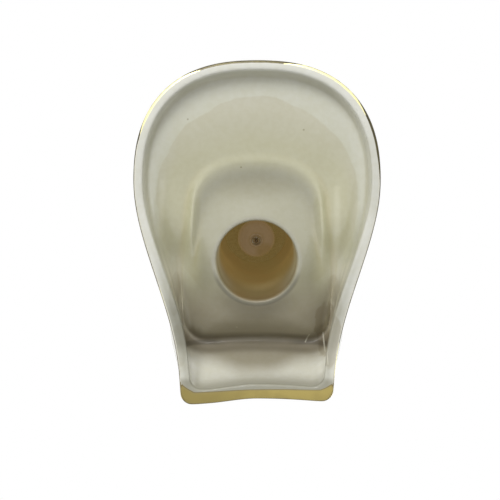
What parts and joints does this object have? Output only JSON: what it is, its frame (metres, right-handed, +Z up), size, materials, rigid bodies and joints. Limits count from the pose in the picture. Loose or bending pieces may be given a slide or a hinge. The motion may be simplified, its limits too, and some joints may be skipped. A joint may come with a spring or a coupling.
{
  "type": "porcelain hand bell",
  "caption": "Porcelain bell with a pear-shaped gilded mouth, a raised arched boss round a deep throat, a hollow handle and a short swinging bead clapper.",
  "frame": {"origin": "on the surface that the bell stands on, under the centre of the mouth", "axes": "+Z up through the handle, +Y towards the wide round back of the mouth, -Y towards its narrow straight front, +X across"},
  "size_m": [0.071, 0.0992, 0.106],
  "materials": {
    "porcelain": "glossy ivory glaze with a fired gold line on the rim",
    "cement": "matt",
    "wire": "drawn wire",
    "bead": "cloudy polished glass"
  },
  "bodies": {
    "bell": {"bell_body": "porcelain", "crown_cement": "cement", "anchor_eye": "wire"},
    "link": {"hanger_link": "wire"},
    "clapper": {"clapper_wire": "wire", "clapper_bead": "bead", "bead_stop": "wire"}
  },
  "joints": [
    {"name": "link_swing", "type": "hinge", "parent": "bell", "child": "link", "pos_m": [0, -0.0096, 0.0907], "axis": [1, 0, 0], "range_deg": [-15, 15]},
    {"name": "clapper_swing", "type": "hinge", "parent": "link", "child": "clapper", "pos_m": [0, -0.0096, 0.0878], "axis": [0, 1, 0], "range_deg": [-20, 20]}
  ]
}
